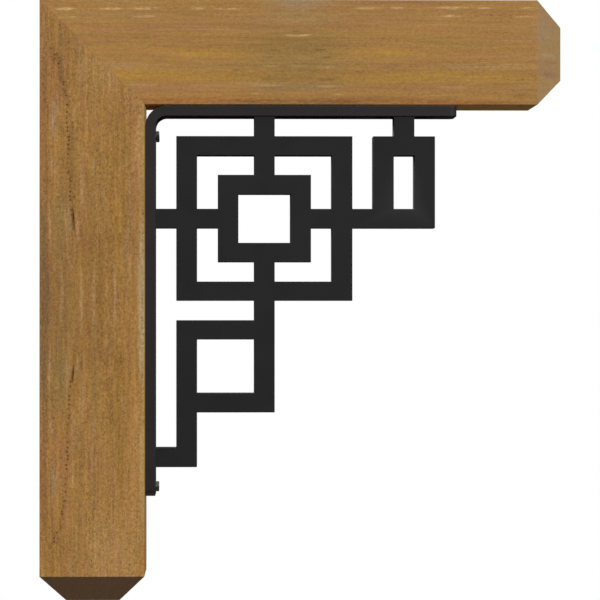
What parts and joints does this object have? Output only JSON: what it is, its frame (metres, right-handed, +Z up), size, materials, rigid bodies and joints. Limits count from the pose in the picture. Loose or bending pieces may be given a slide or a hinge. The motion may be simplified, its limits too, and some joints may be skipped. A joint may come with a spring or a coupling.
{
  "type": "timber corbel bracket",
  "caption": "L-shaped corbel bracket of two mitred square timbers, with a bent black steel strap and an open fretwork of square bars in its inner corner.",
  "frame": {"origin": "middle of the post's flat back face, which lies against the wall", "axes": "+X straight out from the wall along the beam, +Y level along the wall, +Z up the post"},
  "size_m": [0.6625, 0.1324, 0.7619],
  "materials": {
    "timber": "planed softwood with a thin warm brown stain, dry and unvarnished",
    "black_steel": "black powder coat, satin",
    "screw_steel": "black coated hex-headed lag screw"
  },
  "bodies": {
    "root": {"post": "timber", "beam": "timber", "strap": "black_steel", "fretwork": "black_steel", "upper_screw": "screw_steel", "lower_screw": "screw_steel"}
  },
  "joints": []
}
